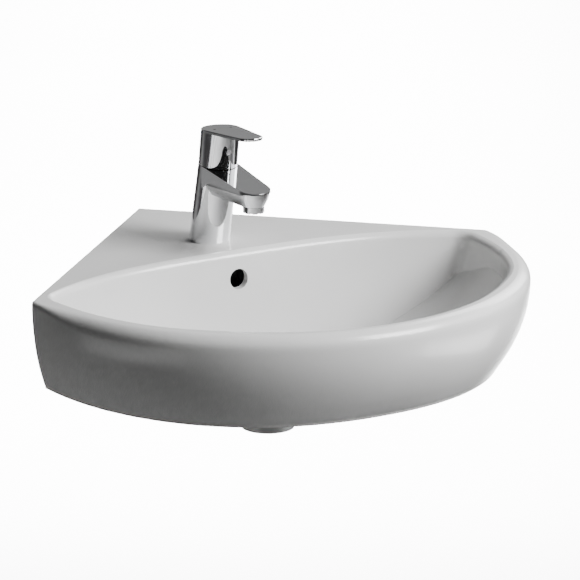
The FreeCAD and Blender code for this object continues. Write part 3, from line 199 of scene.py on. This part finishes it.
# ------------------------------------------------------------------ stage
def stage_plane(name, size, place, colour, rough=0.9):
    me = bpy.data.meshes.new(name)
    a = size / 2
    me.from_pydata([(-a, -a, 0), (a, -a, 0), (a, a, 0), (-a, a, 0)], [], [(0, 1, 2, 3)])
    o = bpy.data.objects.new(name, me)
    bpy.context.scene.collection.objects.link(o)
    o.matrix_world = place
    m, nt, bsdf = new_material(name + "_paint")
    nt.links.new(tinted(nt, noise(nt, 0.6, 2.0), tuple(c * 0.97 for c in colour), colour), bsdf.inputs["Base Color"])
    bsdf.inputs["Roughness"].default_value = rough
    me.materials.append(m)
    return o


stage_plane("studio_floor", 60.0, Matrix.Translation((0, 0, -2.4)), (0.62, 0.62, 0.62))


def area_light(name, at, aim, size, radiance, size_y=None, spread=180.0, along=None):
    """Softbox; its strength is given as the brightness of its face."""
    d = bpy.data.lights.new(name, "AREA")
    d.shape = "RECTANGLE"
    d.size = size
    d.size_y = size_y or size
    d.energy = radiance * math.pi * size * (size_y or size)
    d.spread = math.radians(spread)
    o = bpy.data.objects.new(name, d)
    look = (Vector(at) - Vector(aim)).normalized()
    side = Vector(along or (1, 0, 0))
    side = (side - look * side.dot(look)).normalized()
    o.matrix_world = Matrix.Translation(at) @ Matrix((side, look.cross(side), look)).transposed().to_4x4()
    bpy.context.scene.collection.objects.link(o)
    return o


centre = Vector((0.0, -0.25, 0.0))
away = Vector((0.5206, 0.8538, 0.0))
SOFTBOXES = {
    # name: (direction from the basin, distance, size, brightness, spread)
    "key_soft": ((0.44, -0.68, 0.56), 2.5, 1.3, 6.1, 75.0),
    "side_right": ((0.85, -0.25, 0.45), 2.5, 1.9, 0.5, 75.0),
    "back_right": ((0.78, 0.4, 0.45), 2.5, 1.5, 1.6, 75.0),
}
for lname, (way, far, size, bright, spread) in SOFTBOXES.items():
    area_light(lname, centre + Vector(way).normalized() * far, centre, size, bright, spread=spread)
# a wide box that only lights the floor seen behind the basin
area_light("floor_back", away * 10.2 + Vector((0, 0, -0.5)), away * 10.2 - Vector((0, 0, 2)), 10.5, 25.0, 4.6, 110.0, along=away)
# a second one for the floor behind on the left, which the tap's left side mirrors
area_light("floor_left", (-4.4, 7.2, -0.9), (-4.4, 7.2, -2.4), 4.0, 0.5, 4.0, 110.0)
# two low cards at the sides, for the metal
area_light("card_left", (-2.6, -0.3, -1.25), (0.0, -0.19, 0.11), 2.4, 0.45, 0.6, 90.0, along=(0.1, -1, 0))
area_light("card_right", (2.3, -1.4, -1.4), (0.0, -0.19, 0.11), 2.4, 2.0, 0.6, 90.0, along=(0.5, 0.9, 0))

# studio: dark in front, grey towards the back
world = bpy.data.worlds.new("studio")
bpy.context.scene.world = world
world.use_nodes = True
wt = world.node_tree
bg = wt.nodes["Background"]
coord = wt.nodes.new("ShaderNodeTexCoord")
toward = wt.nodes.new("ShaderNodeVectorMath")
toward.operation = "DOT_PRODUCT"
toward.inputs[1].default_value = (0.6, 0.8, 0.0)
wt.links.new(coord.outputs["Generated"], toward.inputs[0])
shade = wt.nodes.new("ShaderNodeMapRange")
shade.inputs["From Min"].default_value = 0.3
shade.inputs["From Max"].default_value = 0.75
shade.inputs["To Min"].default_value = 0.01
shade.inputs["To Max"].default_value = 0.30
wt.links.new(toward.outputs["Value"], shade.inputs["Value"])
wt.links.new(shade.outputs["Result"], bg.inputs["Color"])
bg.inputs["Strength"].default_value = 1.0

# ------------------------------------------------------------------ camera
az, el, roll = math.radians(-31.376174), math.radians(15.591873), math.radians(0.080978)
unit = 0.415
back = Vector((math.sin(az) * math.cos(el), -math.cos(az) * math.cos(el), math.sin(el)))
right = Vector((math.cos(az), math.sin(az), 0.0))
up = back.cross(right)
right, up = right * math.cos(roll) + up * math.sin(roll), up * math.cos(roll) - right * math.sin(roll)
eye = (Vector((0.0, -0.55, -0.1)) + back * 10.001837 + right * 0.142056 - up * 0.008945) * unit
cam_data = bpy.data.cameras.new("photo_camera")
cam_data.sensor_width = 36.0
cam_data.lens = 3688.232 / 580.0 * 36.0
cam_data.clip_start = 0.05
cam_data.clip_end = 200.0
cam = bpy.data.objects.new("photo_camera", cam_data)
bpy.context.scene.collection.objects.link(cam)
cam.matrix_world = Matrix((
    (right.x, up.x, back.x, eye.x),
    (right.y, up.y, back.y, eye.y),
    (right.z, up.z, back.z, eye.z),
    (0, 0, 0, 1),
))
bpy.context.scene.camera = cam
